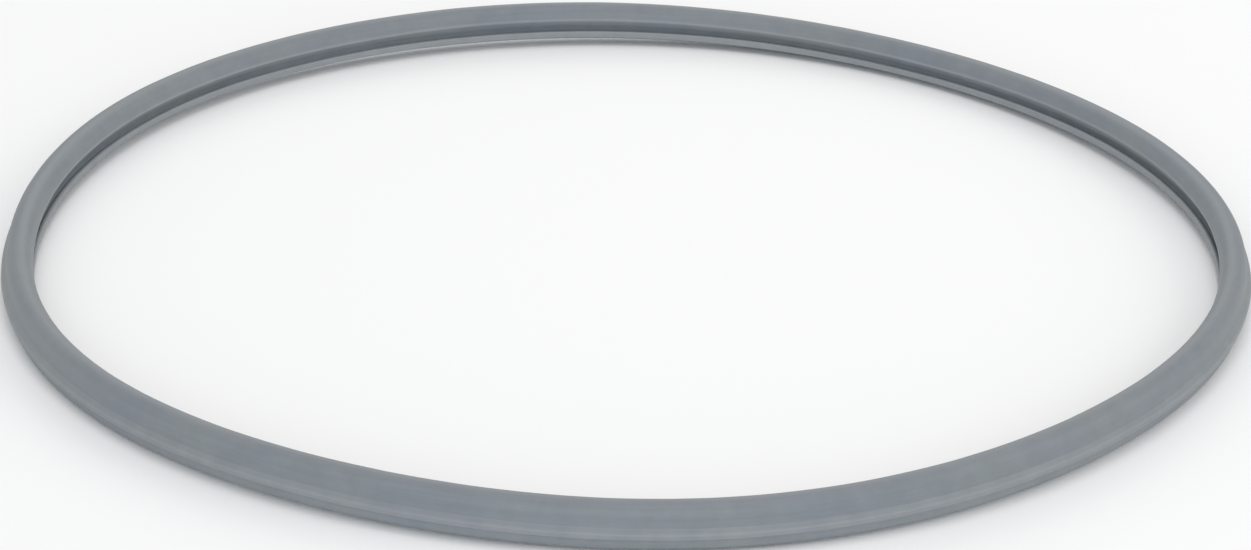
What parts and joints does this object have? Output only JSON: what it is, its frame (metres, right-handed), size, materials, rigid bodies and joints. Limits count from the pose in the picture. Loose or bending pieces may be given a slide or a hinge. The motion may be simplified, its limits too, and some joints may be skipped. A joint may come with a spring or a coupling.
{
  "type": "pressure cooker sealing ring",
  "caption": "Round silicone gasket for a stovetop pressure cooker's lid, with an outer seating bead and two inward-facing lips with a groove between them.",
  "frame": {"origin": "on the ring's axis, in the plane of the foot that the ring lies on", "axes": "+Z along the ring's axis, from the foot towards the crest; the ring is round, so +X is any radius"},
  "size_m": [0.24, 0.24, 0.0083],
  "materials": {
    "silicone": "satin moulded silicone, bluish grey"
  },
  "bodies": {
    "root": {"sealing_ring": "silicone"}
  },
  "joints": []
}
